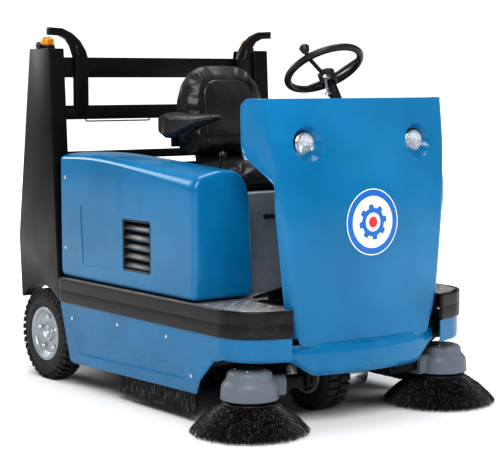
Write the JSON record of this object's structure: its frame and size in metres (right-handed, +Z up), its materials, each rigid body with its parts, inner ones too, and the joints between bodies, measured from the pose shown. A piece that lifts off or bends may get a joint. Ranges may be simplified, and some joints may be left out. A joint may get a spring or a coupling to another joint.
{
  "type": "ride-on sweeper",
  "caption": "Ride-on floor sweeper with a blue bowed cowl, two front side brooms, a black seat and a rear high-lift hopper between masts.",
  "frame": {"origin": "centre of the bounding box on the floor", "axes": "+Z up, +Y to the rear, +X to the operator's left"},
  "size_m": [1.4238, 1.88, 1.534],
  "materials": {
    "blue_shell": "gloss blue moulded shell",
    "black_steel": "satin black powder coat",
    "tread_plate": "worn tread plate",
    "black_strip": "satin black guard strip",
    "black_plastic": "moulded black plastic",
    "vinyl": "black upholstery vinyl",
    "galvanised": "zinc plated steel",
    "grey_cover": "mid grey moulded plastic",
    "bristle": "black nylon bristle",
    "tyre": "black rubber tyre",
    "lamp_glass": "clear lamp glass",
    "amber": "amber beacon lens",
    "cable": "thin black cable"
  },
  "bodies": {
    "chassis": {"chassis_frame": "black_steel", "floor_deck": "tread_plate", "right_bumper": "black_strip", "left_bumper": "black_strip", "right_skirt": "blue_shell", "left_skirt": "blue_shell", "front_cowl": "blue_shell", "front_apron": "blue_shell", "headlights": "lamp_glass", "dash_panel": "black_plastic", "column_pivot": "black_steel", "right_housing": "blue_shell", "left_housing": "blue_shell", "right_louvre": "black_plastic", "left_louvre": "black_plastic", "right_mast": "black_steel", "left_mast": "black_steel", "cross_bars": "black_steel", "hose_guides": "black_steel", "beacon_bases": "black_plastic", "beacon_lenses": "amber", "mast_cable": "cable", "frame_brackets": "black_steel", "brush_tunnel": "black_steel", "brush_flaps": "bristle", "seat_base": "galvanised", "battery_pack": "black_plastic", "pedal_base": "black_steel", "panel_screws": "galvanised"},
    "column": {"steering_column": "black_steel"},
    "column_lever": {"column_lever": "galvanised"},
    "steering_wheel": {"steering_wheel": "black_plastic"},
    "spinner_knob": {"spinner_knob": "black_plastic"},
    "horn_button": {"horn_button": "black_plastic"},
    "front_fork": {"front_fork": "black_steel", "drive_motor": "galvanised"},
    "front_wheel": {"front_rim": "galvanised", "front_tyre": "tyre"},
    "right_rear_wheel": {"right_rear_rim": "galvanised", "right_rear_tyre": "tyre"},
    "left_rear_wheel": {"left_rear_rim": "galvanised", "left_rear_tyre": "tyre"},
    "right_broom_arm": {"right_broom_arm": "galvanised", "right_broom_cover": "grey_cover"},
    "left_broom_arm": {"left_broom_arm": "galvanised", "left_broom_cover": "grey_cover"},
    "right_side_broom": {"right_side_broom": "bristle"},
    "left_side_broom": {"left_side_broom": "bristle"},
    "brush_arms": {"brush_arms": "black_steel"},
    "main_brush": {"main_brush": "bristle"},
    "hopper_carriage": {"hopper_carriage": "black_steel"},
    "hopper_bin": {"hopper_bin": "galvanised"},
    "seat": {"seat_pan": "black_steel", "seat_cushion": "vinyl", "seat_back": "vinyl"},
    "right_armrest": {"right_armrest": "vinyl"},
    "left_armrest": {"left_armrest": "vinyl"},
    "seat_latch": {"seat_latch": "galvanised"},
    "drive_pedal": {"drive_pedal": "black_plastic"},
    "control_lever": {"control_lever": "black_plastic"}
  },
  "joints": [
    {"name": "column_tilt", "type": "hinge", "parent": "chassis", "child": "column", "pos_m": [0, -0.65148, 1.19665], "axis": [1, 0, 0], "range_deg": [-6, 6]},
    {"name": "clamp_lever_turn", "type": "hinge", "parent": "column", "child": "column_lever", "pos_m": [-0.0225, -0.61227, 1.25704], "axis": [-1, 0, 0], "range_deg": [0, 35]},
    {"name": "steering_turn", "type": "hinge", "parent": "column", "child": "steering_wheel", "pos_m": [0, -0.548, 1.356], "axis": [0, 0.5446, 0.8387], "range_deg": [-540, 540]},
    {"name": "knob_spin", "type": "hinge", "parent": "steering_wheel", "child": "spinner_knob", "pos_m": [-0.1299, -0.60328, 1.40859], "axis": [0, 0.5446, 0.8387], "continuous": true},
    {"name": "horn_press", "type": "slide", "parent": "steering_wheel", "child": "horn_button", "axis": [0, -0.5446, -0.8387], "range_m": [0, 0.003], "stiffness_N_per_m": 400},
    {"name": "fork_steer", "type": "hinge", "parent": "chassis", "child": "front_fork", "pos_m": [0, -0.51, 0.15], "axis": [0, 0, 1], "range_deg": [-80, 80]},
    {"name": "front_wheel_spin", "type": "hinge", "parent": "front_fork", "child": "front_wheel", "pos_m": [0, -0.51, 0.15], "axis": [1, 0, 0], "continuous": true},
    {"name": "right_rear_wheel_spin", "type": "hinge", "parent": "chassis", "child": "right_rear_wheel", "pos_m": [-0.525, 0.687, 0.2], "axis": [1, 0, 0], "continuous": true},
    {"name": "right_broom_lift", "type": "hinge", "parent": "chassis", "child": "right_broom_arm", "pos_m": [-0.21, -0.711, 0.17], "axis": [0, 1, 0], "range_deg": [0, 6]},
    {"name": "right_broom_spin", "type": "hinge", "parent": "right_broom_arm", "child": "right_side_broom", "pos_m": [-0.483, -0.711, 0.06], "axis": [0, 0, 1], "continuous": true},
    {"name": "right_armrest_fold", "type": "hinge", "parent": "seat", "child": "right_armrest", "pos_m": [-0.23, 0.186, 1.11], "axis": [-1, 0, 0], "range_deg": [0, 85]},
    {"name": "left_rear_wheel_spin", "type": "hinge", "parent": "chassis", "child": "left_rear_wheel", "pos_m": [0.525, 0.687, 0.2], "axis": [1, 0, 0], "continuous": true},
    {"name": "left_broom_lift", "type": "hinge", "parent": "chassis", "child": "left_broom_arm", "pos_m": [0.21, -0.711, 0.17], "axis": [0, -1, 0], "range_deg": [0, 6]},
    {"name": "left_broom_spin", "type": "hinge", "parent": "left_broom_arm", "child": "left_side_broom", "pos_m": [0.483, -0.711, 0.06], "axis": [0, 0, 1], "continuous": true},
    {"name": "left_armrest_fold", "type": "hinge", "parent": "seat", "child": "left_armrest", "pos_m": [0.23, 0.186, 1.11], "axis": [-1, 0, 0], "range_deg": [0, 85]},
    {"name": "main_brush_lift", "type": "hinge", "parent": "chassis", "child": "brush_arms", "pos_m": [0, 0.04, 0.32], "axis": [1, 0, 0], "range_deg": [0, 8]},
    {"name": "main_brush_spin", "type": "hinge", "parent": "brush_arms", "child": "main_brush", "pos_m": [0, 0.17, 0.152], "axis": [1, 0, 0], "continuous": true},
    {"name": "hopper_lift", "type": "slide", "parent": "chassis", "child": "hopper_carriage", "axis": [0, 0, 1], "range_m": [0, 0.44]},
    {"name": "hopper_dump", "type": "hinge", "parent": "hopper_carriage", "child": "hopper_bin", "pos_m": [0, 0.88, 0.85], "axis": [1, 0, 0], "range_deg": [0, 70]},
    {"name": "seat_slide", "type": "slide", "parent": "chassis", "child": "seat", "axis": [0, 1, 0], "range_m": [-0.06, 0.06]},
    {"name": "latch_turn", "type": "hinge", "parent": "chassis", "child": "seat_latch", "pos_m": [-0.15, -0.37, 0.77], "axis": [0, 1, 0], "range_deg": [0, 90]},
    {"name": "pedal_press", "type": "hinge", "parent": "chassis", "child": "drive_pedal", "pos_m": [-0.3, -0.64, 0.491], "axis": [1, 0, 0], "range_deg": [0, 14], "stiffness_Nm_per_rad": 3},
    {"name": "hopper_lever_tilt", "type": "hinge", "parent": "chassis", "child": "control_lever", "pos_m": [-0.334, -0.29, 0.925], "axis": [1, 0, 0], "range_deg": [-15, 15]}
  ],
  "couplings": [
    {"joint": "fork_steer", "follows": "steering_turn", "ratio": 0.14815}
  ]
}
